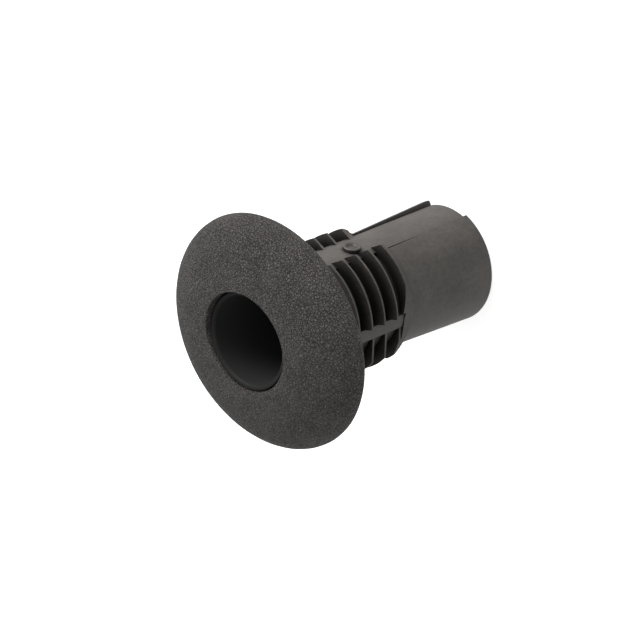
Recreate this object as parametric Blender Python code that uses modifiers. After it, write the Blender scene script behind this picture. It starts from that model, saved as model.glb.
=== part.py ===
"""Push-in desk grommet: a domed trim flange, a ribbed barrel and a smooth bore liner.

The grommet stands on the tail of its barrel, with the bore along +Z and the flange on top.
+Y is the side of the barrel that carries the flat land and its round button.
Lengths are in metres: each size is written in millimetres and multiplied by MM.
"""

import math

import bmesh
import bpy
from mathutils import Matrix, Vector

MM = 0.001

# Overall sizes
TAIL_LENGTH = 61.8 * MM          # flange rim down to the end of the barrel
FLANGE_RADIUS = 30.0 * MM
FLANGE_RISE = 9.45 * MM          # crown of the dome above the rim
FLANGE_RAKE = math.radians(4.4)  # the flange leans this far off square to the bore

# Barrel: its bore, and the walls around it
BARREL_BORE = 12.65 * MM
FLOOR_WALL = 0.7 * MM            # under the pockets between the ribs
NECK_WALL = 1.25 * MM
LAND_WALL = 1.45 * MM            # long smooth land on +Y
BAND_WALL = 1.65 * MM            # narrow bands between the groups of ribs
RIB_HEIGHT = 3.75 * MM
FLOOR_RADIUS = BARREL_BORE + FLOOR_WALL
NECK_RADIUS = BARREL_BORE + NECK_WALL
LAND_RADIUS = BARREL_BORE + LAND_WALL
BAND_RADIUS = BARREL_BORE + BAND_WALL
RIB_RADIUS = FLOOR_RADIUS + RIB_HEIGHT
LAND_HALF_ANGLE = math.radians(22.0)
BAND_HALF_ANGLE = math.radians(7.25)
BAND_SPLAY = math.radians(3.5)   # the band is this much wider each side at its root
BAND_SIDE = math.radians(99.4)
BAND_ANGLES = (BAND_SIDE, math.radians(180.0), -BAND_SIDE)

# Ribs
RIB_COUNT = 4
RIB_PITCH = 4.4 * MM
FIRST_RIB = 12.6 * MM            # below the flange rim
RIB_TIP = 0.48 * MM
RIB_ROOT = 0.7 * MM

# How the rib ends fall away at the land and at each band
LAND_NOTCH_HALF_WIDTH = 3.4 * MM
LAND_NOTCH_SLOPE = math.radians(29.0)
BAND_NOTCH_HALF_WIDTH = 2.0 * MM
BAND_NOTCH_SLOPE = math.radians(65.0)
BAND_NOTCH_EASY_SLOPE = math.radians(8.0)  # on the side of a side band away from the land

# Tail: a shoulder like a last rib, then two spring cheeks that flare away from the tongue
SHOULDER_STEP = 0.5 * MM         # added to the last rib's pitch
SHOULDER_DROP = 0.3 * MM         # the shoulder is this much lower than the ribs
SHOULDER_LENGTH = 3.2 * MM       # from the shoulder's edge down to the cheek's root
SHOULDER_PLACE = FIRST_RIB + RIB_PITCH * RIB_COUNT + SHOULDER_STEP
SHOULDER_RADIUS = RIB_RADIUS - SHOULDER_DROP
DIP_STEP = 0.2 * MM              # the shoulder dips to this much above each band
DIP_RADIUS = BAND_RADIUS + DIP_STEP
DIP_REACH = math.radians(36.0)   # and is back at full height this far to each side
DIP_STEPS = 8
CHEEK_ROOT_STEP = 0.4 * MM       # cheek above the land at its root
CHEEK_END_STEP = 1.3 * MM        # and at its end
CHEEK_ROOT_RADIUS = LAND_RADIUS + CHEEK_ROOT_STEP
CHEEK_END_RADIUS = LAND_RADIUS + CHEEK_END_STEP
CHEEK_CHAMFER = 0.35 * MM
SLIT_WIDTH = 0.5 * MM
SLIT_START = 1.0 * MM            # below the shoulder's edge

# Seat under the flange
SEAT_DROP = 0.1 * MM             # the seat is this much smaller than the ribs
SEAT_RADIUS = RIB_RADIUS - SEAT_DROP
SEAT_THICKNESS = 1.9 * MM
NECK_STEP = 1.2 * MM             # plain neck between the seat and the first pocket

# Trim flange
MOUTH_CLEARANCE = 0.05 * MM      # mouth over bore, so cables never meet a ledge
MOUTH_RADIUS = BARREL_BORE + MOUTH_CLEARANCE
CROWN_INSET = 0.8 * MM
CROWN_RADIUS = MOUTH_RADIUS - CROWN_INSET  # the dome is an ellipse outside this radius
FLANGE_WALL = 2.5 * MM
RIM_ROLL = 1.6 * MM              # radius rolled under the rim
RIM_LAND = 4.6 * MM              # flat ring that sits on the desk
MOUTH_ROUND = 0.4 * MM
HUB_WALL = 2.9 * MM
HUB_DROP = 2.0 * MM              # hub reaches this far below the rim
LIP_THICKNESS = 2.4 * MM         # what is left of the crown over the barrel's end

# Button on the land
BUTTON_RADIUS = 2.2 * MM
BUTTON_HEIGHT = 1.0 * MM
BUTTON_DISH = 0.55 * MM
BUTTON_EDGE = 0.2 * MM
BUTTON_BELOW_RIM = 25.65 * MM
BUTTON_ANGLE = math.radians(6.0)

# Liner
LINER_WALL = 1.2 * MM
LINER_LIP_ROUND = 0.25 * MM      # outer edge of the liner's mouth
LINER_LEAD_IN = 0.85 * MM        # inner edge, rounded so that cables slide in
LINER_RECESS = 0.15 * MM         # below the lowest point of the flange's mouth
LINER_TAIL_GAP = 1.2 * MM        # short of the barrel's end

# Clearances
FIT_GAP = 0.3 * MM               # between pieces that touch
CUT_OVER = 3.0 * MM              # how far a cutter runs past what it cuts
ROOT_OVERLAP = 0.3 * MM          # how far from the bore a joined piece starts
AXIS_GAP = 0.2 * MM              # turned cutters stay this far off their own axis
ROUND_STEPS = 96
ARC_STEPS = 4

RIM_Z = TAIL_LENGTH
RAKE = Matrix.Translation((0.0, 0.0, RIM_Z)) @ Matrix.Rotation(FLANGE_RAKE, 4, "X")
UPRIGHT = Matrix.Identity(4)


def below_rim(distance):
    """Height of a place that lies this far below the flange rim, along the bore."""
    return RIM_Z - distance


def rib_place(index):
    """Distance of a rib's middle below the rim."""
    return FIRST_RIB + RIB_PITCH * index


def arc(centre, radii, start, end, steps):
    """Points on an ellipse's arc, as (radius, height), from one angle to another in degrees."""
    points = []
    for step in range(steps + 1):
        angle = math.radians(start + (end - start) * step / steps)
        points.append((centre[0] + radii[0] * math.cos(angle), centre[1] + radii[1] * math.sin(angle)))
    return points


def clear_scene():
    for old in list(bpy.data.objects):
        bpy.data.objects.remove(old, do_unlink=True)


def new_collection(name):
    collection = bpy.data.collections.new(name)
    bpy.context.scene.collection.children.link(collection)
    return collection


def settled(obj):
    """The object with its modifiers applied, as a plain welded mesh in the same place."""
    bpy.context.view_layer.update()
    evaluated = obj.evaluated_get(bpy.context.evaluated_depsgraph_get())
    mesh = bpy.data.meshes.new_from_object(evaluated)
    shell = bmesh.new()
    shell.from_mesh(mesh)
    bmesh.ops.remove_doubles(shell, verts=shell.verts, dist=0.001 * MM)
    shell.to_mesh(mesh)
    shell.free()
    name = obj.name
    home = obj.users_collection[0]
    place = obj.matrix_world.copy()
    bpy.data.objects.remove(obj, do_unlink=True)
    plain = bpy.data.objects.new(name, mesh)
    plain.matrix_world = place
    home.objects.link(plain)
    return plain


def turned(name, profile, home, place=UPRIGHT, steps=ROUND_STEPS):
    """A closed profile of (radius, height) turned about Z; it runs down its outer side."""
    mesh = bpy.data.meshes.new(name)
    corners = [(radius, 0.0, height) for radius, height in profile]
    edges = [(i, (i + 1) % len(corners)) for i in range(len(corners))]
    mesh.from_pydata(corners, edges, [])
    obj = bpy.data.objects.new(name, mesh)
    home.objects.link(obj)
    screw = obj.modifiers.new("turn", "SCREW")
    screw.axis = "Z"
    screw.angle = 2.0 * math.pi
    screw.steps = steps
    screw.render_steps = steps
    screw.use_merge_vertices = True
    screw.merge_threshold = 0.001 * MM
    obj.matrix_world = place
    return settled(obj)


def plate(name, outline, low, high, home, place=UPRIGHT):
    """A flat outline in X and Y, filled and given its thickness from low to high."""
    curve = bpy.data.curves.new(name, "CURVE")
    curve.dimensions = "2D"
    curve.fill_mode = "BOTH"
    curve.extrude = (high - low) / 2.0
    spline = curve.splines.new("POLY")
    spline.points.add(len(outline) - 1)
    for point, corner in zip(spline.points, outline):
        point.co = (corner[0], corner[1], 0.0, 1.0)
    spline.use_cyclic_u = True
    obj = bpy.data.objects.new(name, curve)
    home.objects.link(obj)
    obj.matrix_world = place @ Matrix.Translation((0.0, 0.0, (low + high) / 2.0))
    return settled(obj)


def sector(inner, outer, half_angle, middle=0.0, splay=0.0):
    """Outline of a ring sector, wider inside by splay; angles run from +Y towards +X."""
    steps = max(3, round(half_angle * 2.0 * ROUND_STEPS / (2.0 * math.pi)))
    turns = [-1.0 + 2.0 * i / steps for i in range(steps + 1)]
    outside = [middle + half_angle * turn for turn in turns]
    inside = [middle + (half_angle + splay) * turn for turn in reversed(turns)]
    outline = [(outer * math.sin(a), outer * math.cos(a)) for a in outside]
    return outline + [(inner * math.sin(a), inner * math.cos(a)) for a in inside]


def notch(base, half_width, left_slope, right_slope):
    """Outline of a trapezium that opens outwards along +Y, from the given base height."""
    depth = RIB_RADIUS + CUT_OVER - base
    return [
        (-half_width, base),
        (half_width, base),
        (half_width + depth / math.tan(right_slope), base + depth),
        (-half_width - depth / math.tan(left_slope), base + depth),
    ]


def dip():
    """Outline that trims a round shoulder to a shallow dip, lowest on +Y."""
    turns = [-1.0 + step / DIP_STEPS for step in range(2 * DIP_STEPS + 1)]
    rise = SHOULDER_RADIUS - DIP_RADIUS
    lowered = [(DIP_RADIUS + rise * abs(turn) ** 1.5, DIP_REACH * turn) for turn in turns]
    clear = SHOULDER_RADIUS + CUT_OVER
    ends = [(clear, DIP_REACH), (clear / math.cos(DIP_REACH), 0.0), (clear, -DIP_REACH)]
    return [(radius * math.sin(angle), radius * math.cos(angle)) for radius, angle in lowered + ends]


def combine(obj, other, operation):
    """Join another solid to this one, or cut it away, and leave a plain mesh."""
    boolean = obj.modifiers.new(operation.lower(), "BOOLEAN")
    boolean.operation = operation
    boolean.solver = "EXACT"
    boolean.object = other
    return settled(obj)


def join_all(obj, others):
    for other in others:
        obj = combine(obj, other, "UNION")
        bpy.data.objects.remove(other, do_unlink=True)
    return obj


def cut_all(obj, cutters):
    for cutter in cutters:
        cutter.hide_render = True
        cutter.display_type = "WIRE"
        obj = combine(obj, cutter, "DIFFERENCE")
    return obj


def plastic(name, colour, roughness):
    material = bpy.data.materials.new(name)
    material.use_nodes = True
    shader = material.node_tree.nodes["Principled BSDF"]
    shader.inputs["Base Color"].default_value = (*colour, 1.0)
    shader.inputs["Roughness"].default_value = roughness
    shader.inputs["Metallic"].default_value = 0.0
    return material


def finish(obj, material):
    """Smooth the round faces, keep the moulded edges sharp and give the piece its material."""
    obj.data.shade_smooth()
    obj.data.set_sharp_from_angle(angle=math.radians(30.0))
    obj.data.materials.clear()
    obj.data.materials.append(material)
    return obj


# Where the flange's mouth opens, along the bore
MOUTH_TOP = FLANGE_RISE
MOUTH_SHIFT = (MOUTH_TOP - LIP_THICKNESS / 2.0) * math.tan(FLANGE_RAKE)
SOCKET_RADIUS = NECK_RADIUS + FIT_GAP
SOCKET_TOP = RIM_Z + FLANGE_RISE - LIP_THICKNESS - NECK_RADIUS * math.sin(FLANGE_RAKE)


def trim_flange(parts, cutters):
    """The domed ring that covers the edge of the hole in the desk."""
    hub_radius = SOCKET_RADIUS + HUB_WALL
    core_radius = MOUTH_RADIUS - CUT_OVER
    span = FLANGE_RADIUS - CROWN_RADIUS
    inner_span = FLANGE_RADIUS - RIM_ROLL - RIM_LAND - CROWN_RADIUS
    inner_rise = FLANGE_RISE - FLANGE_WALL
    hub_meet = math.degrees(math.acos((hub_radius - CROWN_RADIUS) / inner_span))
    outside = arc((CROWN_RADIUS, 0.0), (span, FLANGE_RISE), 90.0, 0.0, 13)
    roll = arc((FLANGE_RADIUS - RIM_ROLL, 0.0), (RIM_ROLL, RIM_ROLL), 0.0, -90.0, 4)[1:]
    rim = [(CROWN_RADIUS + inner_span, -RIM_ROLL)]
    inside = arc((CROWN_RADIUS, 0.0), (inner_span, inner_rise), 0.0, hub_meet, 6)
    hub = [(hub_radius, -HUB_DROP), (core_radius, -HUB_DROP)]
    profile = [(core_radius, FLANGE_RISE)] + outside + roll + rim + inside + hub
    flange = turned("trim_flange", profile, parts, RAKE)

    lip_bottom = MOUTH_TOP - LIP_THICKNESS - CUT_OVER
    flare = arc((MOUTH_RADIUS + MOUTH_ROUND, MOUTH_TOP - MOUTH_ROUND),
                (MOUTH_ROUND, MOUTH_ROUND), 95.0, 180.0, ARC_STEPS)
    mouth = [(AXIS_GAP, MOUTH_TOP + CUT_OVER), (MOUTH_RADIUS + MOUTH_ROUND, MOUTH_TOP + CUT_OVER)]
    mouth += flare + [(MOUTH_RADIUS, lip_bottom), (AXIS_GAP, lip_bottom)]
    shifted = RAKE @ Matrix.Translation((0.0, MOUTH_SHIFT, 0.0))
    mouth_cutter = turned("cut_flange_mouth", mouth, cutters, shifted)

    low = RIM_Z - HUB_DROP - CUT_OVER
    socket = [(AXIS_GAP, SOCKET_TOP), (SOCKET_RADIUS, SOCKET_TOP), (SOCKET_RADIUS, low), (AXIS_GAP, low)]
    socket_cutter = turned("cut_flange_socket", socket, cutters)
    return cut_all(flange, [mouth_cutter, socket_cutter])


def rib_profile(index):
    """The outline of one tapered rib, from its upper root to its lower root."""
    height = below_rim(rib_place(index))
    return [
        (FLOOR_RADIUS, height + RIB_ROOT / 2.0),
        (RIB_RADIUS, height + RIB_TIP / 2.0),
        (RIB_RADIUS, height - RIB_TIP / 2.0),
        (FLOOR_RADIUS, height - RIB_ROOT / 2.0),
    ]


SEAT_TOP = HUB_DROP + FIT_GAP
POCKET_START = SEAT_TOP + SEAT_THICKNESS + NECK_STEP
CHEEK_TOP = SHOULDER_PLACE + RIB_TIP / 2.0
TONGUE_START = CHEEK_TOP + SLIT_START
SHOULDER_END = CHEEK_TOP + SHOULDER_LENGTH


def barrel_core(parts):
    """Neck, pockets, ribs and flaring tail turned in one piece."""
    neck_top = SOCKET_TOP - FIT_GAP
    profile = [(BARREL_BORE, neck_top), (NECK_RADIUS, neck_top), (NECK_RADIUS, below_rim(POCKET_START))]
    profile.append((FLOOR_RADIUS, below_rim(POCKET_START)))
    for index in range(RIB_COUNT):
        profile += rib_profile(index)
    profile += [
        (FLOOR_RADIUS, below_rim(SHOULDER_PLACE - RIB_ROOT / 2.0)),
        (SHOULDER_RADIUS, below_rim(SHOULDER_PLACE - RIB_TIP / 2.0)),
        (SHOULDER_RADIUS, below_rim(CHEEK_TOP)),
        (CHEEK_ROOT_RADIUS, below_rim(SHOULDER_END)),
        (CHEEK_END_RADIUS, CHEEK_CHAMFER),
        (CHEEK_END_RADIUS - CHEEK_CHAMFER, 0.0),
        (BARREL_BORE, 0.0),
    ]
    return turned("ribbed_barrel", profile, parts)


def rib_notches(cutters):
    """Cutters that slope the rib ends down to the land and to the bands."""
    high = below_rim(FIRST_RIB - RIB_ROOT)
    low = below_rim(TONGUE_START + ROOT_OVERLAP)
    base = (FLOOR_RADIUS + LAND_RADIUS) / 2.0
    land_outline = notch(base, LAND_NOTCH_HALF_WIDTH, LAND_NOTCH_SLOPE, LAND_NOTCH_SLOPE)
    notches = [plate("cut_land_notch", land_outline, low, high, cutters)]
    band_low = below_rim(CHEEK_TOP + ROOT_OVERLAP)
    dip_outline = dip()
    dip_high = below_rim(SHOULDER_PLACE - RIB_ROOT)
    for number, angle in enumerate(BAND_ANGLES, start=1):
        turn = Matrix.Rotation(-angle, 4, "Z")
        left = BAND_NOTCH_EASY_SLOPE if angle < 0.0 else BAND_NOTCH_SLOPE
        right = BAND_NOTCH_EASY_SLOPE if angle == BAND_SIDE else BAND_NOTCH_SLOPE
        band_outline = notch(BAND_RADIUS - ROOT_OVERLAP, BAND_NOTCH_HALF_WIDTH, left, right)
        notches.append(plate("cut_band_notch_%d" % number, band_outline, band_low, high, cutters, turn))
        dip_low = below_rim(SHOULDER_END)
        notches.append(plate("cut_shoulder_dip_%d" % number, dip_outline, dip_low, dip_high, cutters, turn))
    return notches


def button(parts):
    """The round button on the land, with a dished top."""
    sunk = LAND_RADIUS - BARREL_BORE - 2.0 * ROOT_OVERLAP
    rim = BUTTON_RADIUS * 0.68
    centre = BUTTON_RADIUS * 0.01
    profile = [
        (centre, BUTTON_HEIGHT - BUTTON_DISH),
        (rim * 0.7, BUTTON_HEIGHT - BUTTON_DISH),
        (rim, BUTTON_HEIGHT - BUTTON_EDGE * 0.4),
        (BUTTON_RADIUS - BUTTON_EDGE, BUTTON_HEIGHT),
        (BUTTON_RADIUS, BUTTON_HEIGHT - BUTTON_EDGE),
        (BUTTON_RADIUS, -sunk),
        (centre, -sunk),
    ]
    outwards = Matrix.Rotation(-BUTTON_ANGLE, 4, "Z") @ Matrix.Rotation(math.radians(-90.0), 4, "X")
    seat = outwards @ Vector((0.0, 0.0, LAND_RADIUS))
    place = Matrix.Translation(seat + Vector((0.0, 0.0, below_rim(BUTTON_BELOW_RIM)))) @ outwards
    return turned("button", profile, parts, place, 32)


def seat_middle(angle):
    """Height of the middle of the raked seat, on the side of the barrel at this angle."""
    lean = LAND_RADIUS * math.sin(FLANGE_RAKE) * math.cos(angle)
    return below_rim(SEAT_TOP + SEAT_THICKNESS / 2.0) + lean


def ribbed_barrel(parts, cutters):
    """The sleeve that is pushed into the hole, gripped by its ribs and by its tail."""
    barrel = cut_all(barrel_core(parts), rib_notches(cutters))

    tongue_half = LAND_HALF_ANGLE
    slit_angle = SLIT_WIDTH / LAND_RADIUS
    window = sector(BARREL_BORE - CUT_OVER, CHEEK_END_RADIUS + CUT_OVER, tongue_half + slit_angle)
    window_top = below_rim(TONGUE_START)
    barrel = cut_all(barrel, [plate("cut_tail_window", window, -CUT_OVER, window_top, cutters)])

    inside = BARREL_BORE + ROOT_OVERLAP
    land = plate("land", sector(inside, LAND_RADIUS, tongue_half), 0.0, seat_middle(0.0), parts)
    extras = [land]
    band_bottom = below_rim(CHEEK_TOP + 2.0 * ROOT_OVERLAP)
    for number, angle in enumerate(BAND_ANGLES, start=1):
        outline = sector(inside, BAND_RADIUS, BAND_HALF_ANGLE, angle, BAND_SPLAY)
        extras.append(plate("band_%d" % number, outline, band_bottom, seat_middle(angle), parts))
    seat_inner = BARREL_BORE + 2.0 * ROOT_OVERLAP
    seat_profile = [
        (seat_inner, -SEAT_TOP),
        (SEAT_RADIUS, -SEAT_TOP),
        (SEAT_RADIUS, -SEAT_TOP - SEAT_THICKNESS),
        (seat_inner, -SEAT_TOP - SEAT_THICKNESS),
    ]
    extras.append(turned("seat", seat_profile, parts, RAKE))
    extras.append(button(parts))
    return join_all(barrel, extras)


def bore_liner(parts):
    """The smooth tube that the cables run through."""
    outer = BARREL_BORE - FIT_GAP
    inner = outer - LINER_WALL
    mouth_dip = MOUTH_RADIUS * math.sin(FLANGE_RAKE)
    top = RIM_Z + FLANGE_RISE - mouth_dip - LINER_RECESS
    crest = outer - LINER_LIP_ROUND
    outer_round = arc((crest, top - LINER_LIP_ROUND), (LINER_LIP_ROUND, LINER_LIP_ROUND), 90.0, 0.0, ARC_STEPS)
    inner_round = arc((inner + LINER_LEAD_IN, top - LINER_LEAD_IN),
                      (LINER_LEAD_IN, LINER_LEAD_IN), 180.0, 90.0, 2 * ARC_STEPS)
    profile = outer_round + [(outer, LINER_TAIL_GAP), (inner, LINER_TAIL_GAP)] + inner_round
    return turned("bore_liner", profile, parts)


def build():
    clear_scene()
    parts = new_collection("desk_grommet")
    cutters = new_collection("cutters")
    grained = plastic("grained_plastic", (0.080, 0.075, 0.071), 0.55)
    moulded = plastic("moulded_plastic", (0.085, 0.080, 0.076), 0.45)
    smooth = plastic("smooth_plastic", (0.080, 0.077, 0.074), 0.38)
    finish(trim_flange(parts, cutters), grained)
    finish(ribbed_barrel(parts, cutters), moulded)
    finish(bore_liner(parts), smooth)


build()
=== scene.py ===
# %% [markdown]
# # A desk grommet, finished for a picture
#
# The grommet is three plastic mouldings pushed into each other: a domed trim flange with a
# leather-like grain, a ribbed barrel that grips the hole in the desk, and a smooth liner that
# the cables slide over. Their shapes are already exact, so this lesson loads them as a fixed
# frame and spends its time on what makes black plastic look real: grain, sheen, scuffs and light.

import math

import bpy
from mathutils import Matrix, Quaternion, Vector


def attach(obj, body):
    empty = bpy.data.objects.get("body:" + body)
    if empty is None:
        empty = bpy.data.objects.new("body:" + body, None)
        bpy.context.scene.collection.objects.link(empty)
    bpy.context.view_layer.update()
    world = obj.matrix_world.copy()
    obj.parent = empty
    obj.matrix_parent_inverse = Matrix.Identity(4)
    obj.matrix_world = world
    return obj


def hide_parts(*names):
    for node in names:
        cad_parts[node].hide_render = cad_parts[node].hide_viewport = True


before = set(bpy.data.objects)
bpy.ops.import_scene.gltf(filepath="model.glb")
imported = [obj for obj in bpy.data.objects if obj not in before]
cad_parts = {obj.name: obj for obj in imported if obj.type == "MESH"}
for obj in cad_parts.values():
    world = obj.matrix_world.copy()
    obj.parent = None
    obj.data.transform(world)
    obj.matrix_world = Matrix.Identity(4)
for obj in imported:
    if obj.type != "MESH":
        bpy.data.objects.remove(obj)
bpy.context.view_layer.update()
print("pieces:", sorted(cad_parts))

# %% [markdown]
# ## Writing shader maths as Python
#
# A finish such as leather grain is a sum of patterns. Wiring each Math node by hand hides the
# idea, so one small class wraps a node's output socket and lets an expression such as
# `1 - mask * 0.4` add the nodes it needs. Other nodes come from one method, which takes the
# node's type, its settings and its inputs. A finish can also paint shade into the deep hollows,
# where black plastic has no light to reflect, by mixing in a darker copy of itself without its
# shine.

# %% A socket that understands arithmetic


class Wire:
    """A shader socket that can be added, subtracted, multiplied, divided and raised to a power."""

    def __init__(self, sheet, socket):
        self.sheet = sheet
        self.socket = socket

    def maths(self, operation, first, second):
        node = self.sheet.node("ShaderNodeMath", {"operation": operation}, {0: first, 1: second})
        return node.out()

    def __add__(self, other):
        return self.maths("ADD", self, other)

    def __radd__(self, other):
        return self.maths("ADD", other, self)

    def __sub__(self, other):
        return self.maths("SUBTRACT", self, other)

    def __rsub__(self, other):
        return self.maths("SUBTRACT", other, self)

    def __mul__(self, other):
        return self.maths("MULTIPLY", self, other)

    def __rmul__(self, other):
        return self.maths("MULTIPLY", other, self)

    def __truediv__(self, other):
        return self.maths("DIVIDE", self, other)

    def __rtruediv__(self, other):
        return self.maths("DIVIDE", other, self)

    def __pow__(self, other):
        return self.maths("POWER", self, other)

    def __rpow__(self, other):
        return self.maths("POWER", other, self)


class Placed:
    """A node that has just been placed, with a short way to its outputs."""

    def __init__(self, sheet, node):
        self.sheet = sheet
        self.node = node

    def out(self, name=0):
        return Wire(self.sheet, self.node.outputs[name])


# The painted shade in hollows is a darker copy of the plastic, rough and with little shine.
PAINTED_SHADE_ROUGHNESS = 0.9
PAINTED_SHADE_SPECULAR = 0.04


class Finish:
    """One material's node sheet."""

    def __init__(self, name):
        self.material = bpy.data.materials.new(name)
        self.material.use_nodes = True
        self.tree = self.material.node_tree
        self.shader = self.tree.nodes["Principled BSDF"]

    def put(self, socket, value):
        if isinstance(value, Wire):
            self.tree.links.new(value.socket, socket)
        else:
            socket.default_value = value

    def node(self, kind, settings=None, inputs=None):
        node = self.tree.nodes.new(kind)
        for key, value in (settings or {}).items():
            setattr(node, key, value)
        for key, value in (inputs or {}).items():
            self.put(node.inputs[key], value)
        return Placed(self, node)

    def surface(self, **inputs):
        for key, value in inputs.items():
            self.put(self.shader.inputs[key.replace("_", " ")], value)

    def paint_shade_where(self, mask, colour):
        """Paints shade: mixes in the same plastic, in a darker colour and without its shine, where
        the mask is 1.
        """
        shaded_copy = self.node("ShaderNodeBsdfPrincipled", {}, {
            "Base Color": colour,
            "Roughness": PAINTED_SHADE_ROUGHNESS,
            "Specular IOR Level": PAINTED_SHADE_SPECULAR,
        })
        mix = self.node("ShaderNodeMixShader", {}, {"Fac": mask})
        self.tree.links.new(self.shader.outputs["BSDF"], mix.node.inputs[1])
        self.tree.links.new(shaded_copy.node.outputs["BSDF"], mix.node.inputs[2])
        output = self.tree.nodes["Material Output"]
        self.tree.links.new(mix.node.outputs["Shader"], output.inputs["Surface"])


print("the maths class is ready")

# %% [markdown]
# ## Sizes the finishes need
#
# Grain, scuffs and rounded edges have real sizes, and a pattern in the wrong size is what gives a
# model away. They are named here in millimetres. The depths aren't cut into the shape: they only
# bend the light, and they are set much deeper than real grain, until it reads as grain.

# %% Sizes of grain and edges
MM = 0.001
GRAIN_CELL = 0.52 * MM
GRAIN_DEPTH = 0.62 * MM
GLINT_SIZE = 0.30 * MM
WEAR_PATCH = 6.0 * MM
FLOW_MARK = 9.0 * MM
MOTTLE_SIZE = 1.1 * MM
HAZE_SIZE = 0.18 * MM
SKIN_DEPTH = 0.05 * MM
SCUFF_WIDTH = 0.35 * MM
STREAK_WIDTH = 0.5 * MM
STREAK_DEPTH = 0.006 * MM
PAINTED_SHADE_REACH = 6.0 * MM
EDGE_ROUND = 0.12 * MM
WELD_GAP = 0.002 * MM
SMOOTH_ANGLE = math.radians(32.0)
print("grain cells of", GRAIN_CELL / MM, "mm")

# %% [markdown]
# ## The moulded surface
#
# A mould leaves its own skin on plastic: a faint waviness where the melt flowed, a fine haze that
# breaks up the shine, and light scuffs from handling. All of them start from a noise of their own
# size. More than one finish needs most of these steps, so each is a small function.

# %% Patterns shared by the finishes


def place(finish):
    """Object space in metres, which is the same for every piece."""
    return finish.node("ShaderNodeTexCoord").out("Object")


def noise(finish, where, size, detail=3.0, roughness=0.5):
    """A soft noise whose blotches are about this size, from 0 to 1."""
    settings = {"noise_dimensions": "3D"}
    inputs = {"Vector": where, "Scale": 1.0 / size, "Detail": detail, "Roughness": roughness}
    return finish.node("ShaderNodeTexNoise", settings, inputs).out("Fac")


def spread(finish, value, low, high):
    """Stretches the pattern between low and high to the range 0 to 1, and clips the rest."""
    settings = {"clamp": True}
    inputs = {"Value": value, "From Min": low, "From Max": high, "To Min": 0.0, "To Max": 1.0}
    return finish.node("ShaderNodeMapRange", settings, inputs).out("Result")


# The Mix node has one set of sockets for each kind of value, so its colours are asked for by number.
MIX_COLOUR_A = 6
MIX_COLOUR_B = 7
MIX_COLOUR_OUT = 2


def tint(finish, mask, dark, light):
    """A colour that runs from dark to light as the mask goes from 0 to 1."""
    settings = {"data_type": "RGBA", "clamp_factor": True}
    inputs = {"Factor": mask, MIX_COLOUR_A: dark, MIX_COLOUR_B: light}
    return finish.node("ShaderNodeMix", settings, inputs).out(MIX_COLOUR_OUT)


def painted_shade_depth(finish, reach):
    """How much shade to paint: how deep a place lies in the piece's own hollows, 0 on open faces, 1
    at the bottom.
    """
    settings = {"samples": 12, "only_local": True}
    openness = finish.node("ShaderNodeAmbientOcclusion", settings, {"Distance": reach}).out("AO")
    return 1 - spread(finish, openness, 0.36, 0.86)


def scuffs(finish, where):
    """Sparse, thin marks, longer one way than the others."""
    placing = {"Vector": where, "Scale": (1.0, 1.0, 0.22), "Rotation": (0.3, 0.2, 0.0)}
    stretched = finish.node("ShaderNodeMapping", {"vector_type": "POINT"}, placing).out()
    lines = noise(finish, stretched, SCUFF_WIDTH * 3.0, 2.0)
    patches = noise(finish, where, FLOW_MARK, 2.0)
    return spread(finish, lines, 0.57, 0.66) * spread(finish, patches, 0.46, 0.60)


def rounded_edges(finish):
    """A normal that behaves as if every moulded edge had a small radius."""
    return finish.node("ShaderNodeBevel", {"samples": 6}, {"Radius": EDGE_ROUND}).out()


def relief(finish, height, depth):
    """Bumps of the given depth on top of the rounded edges."""
    inputs = {"Strength": 1.0, "Distance": depth, "Height": height, "Normal": rounded_edges(finish)}
    return finish.node("ShaderNodeBump", {}, inputs).out()


# %% [markdown]
# ## The grained finish of the flange
#
# The flange is the part that people see, so its mould is etched with a fine leather grain: small
# rounded pebbles with narrow valleys between them. A Voronoi pattern gives the distance to the
# nearest valley. Its cells are nudged by a noise so that they don't look like tiles, and a second,
# smaller pattern is laid over them. The valleys are painted darker, as the shade between the
# pebbles, and are a little duller; the tops are lighter, and small glints gather where wear has
# rubbed the surface.

# %% Grained plastic
# This black is painted shade, mixed into the hollows.
PAINTED_SHADE_BLACK = (0.006, 0.0058, 0.0055, 1.0)
# The valley colour is painted shade between the pebbles.
VALLEY_PAINTED_SHADE = (0.010, 0.0088, 0.0079, 1.0)
PEBBLE_COLOUR = (0.146, 0.1300, 0.1195, 1.0)
WOBBLE_SCALE = 0.45
WOBBLE_AMOUNT = 1.6
VALLEY_WIDTH = 0.30


def pebbles(finish, where, cell):
    """Height of rounded pebbles: 1 on top, 0 in the valleys."""
    scale = WOBBLE_SCALE / cell
    noise_inputs = {"Vector": where, "Scale": scale, "Detail": 2.0}
    wobble = finish.node("ShaderNodeTexNoise", {"noise_dimensions": "3D"}, noise_inputs).out("Color")
    nudge_inputs = {0: wobble, "Scale": cell * WOBBLE_AMOUNT}
    nudge = finish.node("ShaderNodeVectorMath", {"operation": "SCALE"}, nudge_inputs).out()
    moved = finish.node("ShaderNodeVectorMath", {"operation": "ADD"}, {0: where, 1: nudge}).out()
    settings = {"voronoi_dimensions": "3D", "feature": "DISTANCE_TO_EDGE"}
    cells = {"Vector": moved, "Scale": 1.0 / cell}
    edge = finish.node("ShaderNodeTexVoronoi", settings, cells).out("Distance")
    return spread(finish, edge, 0.0, VALLEY_WIDTH) ** 0.7



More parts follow.
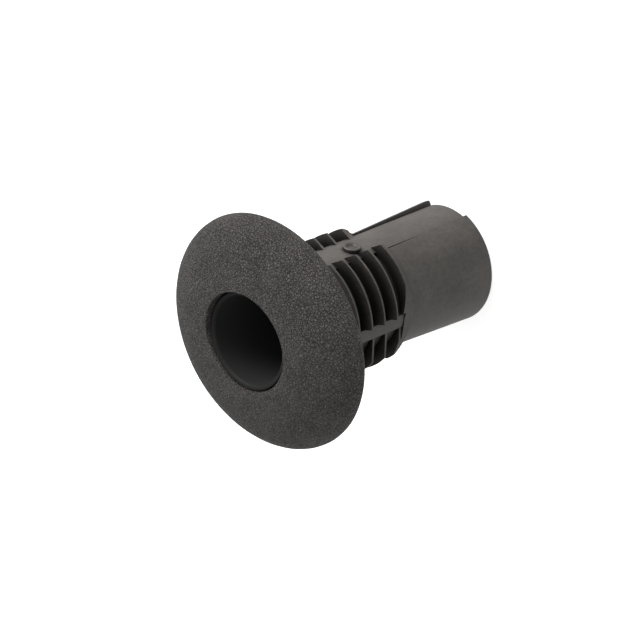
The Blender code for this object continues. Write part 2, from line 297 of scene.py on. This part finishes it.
def grained_plastic():
    finish = Finish("grained_black_plastic")
    where = place(finish)
    coarse = pebbles(finish, where, GRAIN_CELL * 1.35)
    fine = pebbles(finish, where, GRAIN_CELL * 0.9)
    grain = coarse * 0.55 + fine * 0.45
    wear = noise(finish, where, WEAR_PATCH, 4.0, 0.6)
    specks = spread(finish, noise(finish, where, GLINT_SIZE, 2.0), 0.56, 0.66)
    glint = specks * spread(finish, wear, 0.40, 0.58)
    # Painted shade: the grain's valleys get a far darker colour than the pebble tops; the wear
    # patches lighten the tone.
    tone = spread(finish, grain * 0.78 + wear * 0.32, 0.36, 0.94)
    finish.surface(
        Base_Color=tint(finish, tone, VALLEY_PAINTED_SHADE, PEBBLE_COLOUR),
        Roughness=0.62 - glint * 0.40 + (1 - coarse) * 0.10,
        Metallic=0.0,
        Normal=relief(finish, grain + wear * 0.10 + glint * 0.12, GRAIN_DEPTH),
    )
    # Painted shade: the flange's own hollows are mixed towards a darker plastic without shine.
    finish.paint_shade_where(painted_shade_depth(finish, PAINTED_SHADE_REACH * 0.5), PAINTED_SHADE_BLACK)
    print("made", finish.material.name)
    return finish.material


# %% [markdown]
# ## The plain finish of the barrel
#
# Nobody sees the barrel once it is in the desk, so its mould is only machined smooth. The plastic
# comes out satin, with broad flow marks, a fine mottle and haze, and a few scuffs. The long land
# under the button faces the soft light, and that light is painted into its colour: it is a shade
# lighter than the walls, so a mask picks it out by its angle and its distance from the axis.

# %% Plain moulded plastic
LAND_HALF_ANGLE = math.radians(22.3)
LAND_OUTSIDE = 14.35 * MM
LAND_EDGE = 0.02
LAND_FADE = 0.05 * MM
WALL_DARK = (0.042, 0.0372, 0.0334, 1.0)
WALL_LIGHT = (0.088, 0.0790, 0.0722, 1.0)
# The land's colours are painted light: a lighter copy of the walls' for the light that falls on the
# land.
LIT_LAND_DARK = (0.064, 0.0569, 0.0510, 1.0)
LIT_LAND_LIGHT = (0.102, 0.0916, 0.0832, 1.0)


def painted_light_land_mask(finish, where):
    """Where light is painted: 1 on the smooth land that faces +Y, 0 elsewhere."""
    parts = finish.node("ShaderNodeSeparateXYZ", {}, {"Vector": where})
    across, towards_land = parts.out("X"), parts.out("Y")
    radius = (across * across + towards_land * towards_land) ** 0.5
    lean = across / radius
    side = math.sin(LAND_HALF_ANGLE) ** 2
    inside = spread(finish, lean * lean, side * (1 + LAND_EDGE), side * (1 - LAND_EDGE))
    front = spread(finish, towards_land, 0.0, 1.0 * MM)
    low = spread(finish, radius, LAND_OUTSIDE, LAND_OUTSIDE - LAND_FADE)
    return inside * front * low


def plain_plastic():
    finish = Finish("plain_black_plastic")
    where = place(finish)
    land = painted_light_land_mask(finish, where)
    flow = noise(finish, where, FLOW_MARK, 3.0, 0.55)
    haze = noise(finish, where, HAZE_SIZE, 2.0)
    marks = scuffs(finish, where)
    mottle = noise(finish, where, MOTTLE_SIZE, 4.0, 0.65)
    tone = spread(finish, flow * 0.45 + mottle * 0.35 + haze * 0.2, 0.36, 0.66)
    walls = tint(finish, tone + marks * 0.5, WALL_DARK, WALL_LIGHT)
    # Painted light: the land gets a lighter copy of the wall colour for the light that falls on it.
    painted_light_land = tint(finish, tone + marks * 0.5, LIT_LAND_DARK, LIT_LAND_LIGHT)
    finish.surface(
        Base_Color=tint(finish, land, walls, painted_light_land),
        Roughness=0.40 + flow * 0.14 + haze * 0.06 + marks * 0.12 + land * 0.10,
        Metallic=0.0,
        Normal=relief(finish, flow * 0.5 + mottle * 0.35 + haze * 0.15 + marks * 0.1, SKIN_DEPTH),
    )
    # Painted shade: the pockets between the ribs and the barrel's other hollows are mixed towards a
    # darker plastic without shine.
    finish.paint_shade_where(painted_shade_depth(finish, PAINTED_SHADE_REACH), PAINTED_SHADE_BLACK)
    print("made", finish.material.name)
    return finish.material


# %% [markdown]
# ## The smooth finish of the liner
#
# Cables rub along the liner, so it is the smoothest of the three. It is a deeper black without haze
# or mottle, and has fine streaks along the bore from the core pin that formed it. Deep inside the
# bore shade is painted in: a dark grey without shine is mixed in, which keeps the white studio out
# of it.

# %% Smooth plastic
LINER_DARK = (0.010, 0.0097, 0.0094, 1.0)
LINER_LIGHT = (0.016, 0.0155, 0.0150, 1.0)
# This grey is painted shade for the deep bore.
BORE_PAINTED_SHADE = (0.03, 0.03, 0.03, 1.0)


def smooth_plastic():
    finish = Finish("smooth_black_plastic")
    where = place(finish)
    placing = {"Vector": where, "Scale": (1.0, 1.0, 0.03)}
    drawn = finish.node("ShaderNodeMapping", {"vector_type": "POINT"}, placing).out()
    streaks = noise(finish, drawn, STREAK_WIDTH, 3.0)
    flow = noise(finish, where, FLOW_MARK, 2.0)
    finish.surface(
        Base_Color=tint(finish, flow, LINER_DARK, LINER_LIGHT),
        Roughness=0.52 + streaks * 0.14,
        Metallic=0.0,
        Specular_IOR_Level=0.16,
        Normal=relief(finish, streaks, STREAK_DEPTH),
    )
    # Painted shade: deep in the bore the liner is mixed towards a dark grey without shine.
    finish.paint_shade_where(painted_shade_depth(finish, PAINTED_SHADE_REACH * 5.0), BORE_PAINTED_SHADE)
    print("made", finish.material.name)
    return finish.material


# %% [markdown]
# ## Dressing the pieces
#
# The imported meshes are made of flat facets. Each piece is copied, welded and shaded smooth, with
# its moulded edges kept sharp, so that light runs evenly round the curves. The copy stands for
# the facetted node and keeps exactly its size.

# %% Smooth copies of the three mouldings


def dressed(node, material):
    """Puts a smooth-shaded copy in this finish where the facetted node stood."""
    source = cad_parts[node]
    mesh = source.data.copy()
    mesh.name = node + "_finished"
    for name in ("custom_normal", "sharp_face", "sharp_edge"):
        layer = mesh.attributes.get(name)
        if layer is not None:
            mesh.attributes.remove(layer)
    piece = bpy.data.objects.new(node + "_finished", mesh)
    bpy.context.scene.collection.objects.link(piece)
    weld = piece.modifiers.new("weld", "WELD")
    weld.merge_threshold = WELD_GAP
    bpy.context.view_layer.update()
    depsgraph = bpy.context.evaluated_depsgraph_get()
    welded = bpy.data.meshes.new_from_object(piece.evaluated_get(depsgraph))
    piece.modifiers.clear()
    piece.data = welded
    welded.shade_smooth()
    welded.set_sharp_from_angle(angle=SMOOTH_ANGLE)
    welded.materials.clear()
    welded.materials.append(material)
    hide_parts(node)
    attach(piece, "root")
    print(piece.name, "has", len(welded.polygons), "faces")


dressed("trim_flange", grained_plastic())
dressed("ribbed_barrel", plain_plastic())
dressed("bore_liner", smooth_plastic())

# %% [markdown]
# ## Camera
#
# A small product is best taken from far away with a long lens, which keeps its circles round and
# its lines parallel. The grommet stands on its tail here, so the camera is also rolled to show it
# lying across the picture with the land and the button on top.

# %% Camera
AIM = Vector((1.1, -1.6, 46.2)) * MM
AZIMUTH = math.radians(123.4)
ELEVATION = math.radians(41.6)
ROLL = math.radians(112.3)
DISTANCE = 1.2025
LENS = 281.0
SENSOR_WIDTH = 36.0
NEAREST = 0.01
FARTHEST = 20.0

back = Vector((
    math.sin(AZIMUTH) * math.cos(ELEVATION),
    -math.cos(AZIMUTH) * math.cos(ELEVATION),
    math.sin(ELEVATION),
))
camera = bpy.data.objects.new("camera", bpy.data.cameras.new("camera"))
bpy.context.scene.collection.objects.link(camera)
camera.data.sensor_width = SENSOR_WIDTH
camera.data.lens = LENS
camera.data.clip_start = NEAREST
camera.data.clip_end = FARTHEST
camera.location = AIM + back * DISTANCE
camera.rotation_mode = "QUATERNION"
roll = Quaternion((0.0, 0.0, 1.0), -ROLL)
camera.rotation_quaternion = (-back).to_track_quat("-Z", "Y") @ roll
bpy.context.scene.camera = camera
print("camera at", [round(v, 3) for v in camera.location])

# %% [markdown]
# ## Floor and light
#
# Black plastic shows mostly what it reflects, so the studio is white all round: a pale floor that
# glows a little, a white world, and one large soft light on the land's side of the barrel. The soft
# light makes the land the brightest face, as a window would, and the land's colour adds painted
# light to it.

# %% Floor and light
FLOOR_HALF = 6.0
FLOOR_WHITE = (0.86, 0.86, 0.86, 1.0)
FLOOR_GLOW = 0.62
WHITE = (1.0, 1.0, 1.0, 1.0)
KEY_DIRECTION = (-0.32, 0.86, 0.40)
KEY_DISTANCE = 0.70
KEY_SIZE = 0.45
KEY_POWER = 5.6
WORLD_STRENGTH = 0.66


def pale_floor():
    mesh = bpy.data.meshes.new("floor")
    low, high = -FLOOR_HALF, FLOOR_HALF
    corners = [(low, low, 0.0), (high, low, 0.0), (high, high, 0.0), (low, high, 0.0)]
    mesh.from_pydata(corners, [], [(0, 1, 2, 3)])
    floor = bpy.data.objects.new("floor", mesh)
    bpy.context.scene.collection.objects.link(floor)
    finish = Finish("pale_floor")
    finish.surface(
        Base_Color=FLOOR_WHITE,
        Roughness=0.9,
        Emission_Color=WHITE,
        Emission_Strength=FLOOR_GLOW,
    )
    mesh.materials.append(finish.material)
    floor.visible_diffuse = False
    floor.visible_glossy = False


def soft_light(name, direction, distance, size, power):
    """A square lamp that looks at the grommet from the given direction."""
    lamp = bpy.data.lights.new(name, "AREA")
    lamp.shape = "SQUARE"
    lamp.size = size
    lamp.energy = power
    light = bpy.data.objects.new(name, lamp)
    bpy.context.scene.collection.objects.link(light)
    aim = Vector(direction).normalized()
    light.location = AIM + aim * distance
    light.rotation_mode = "QUATERNION"
    light.rotation_quaternion = aim.to_track_quat("Z", "Y")
    light.visible_camera = False
    return light


pale_floor()
key = soft_light("key", KEY_DIRECTION, KEY_DISTANCE, KEY_SIZE, KEY_POWER)
world = bpy.data.worlds.new("studio")
world.use_nodes = True
background = world.node_tree.nodes["Background"]
background.inputs["Color"].default_value = WHITE
background.inputs["Strength"].default_value = WORLD_STRENGTH
bpy.context.scene.world = world
bpy.context.scene.view_settings.view_transform = "Standard"
print("lights: world and", key.name)
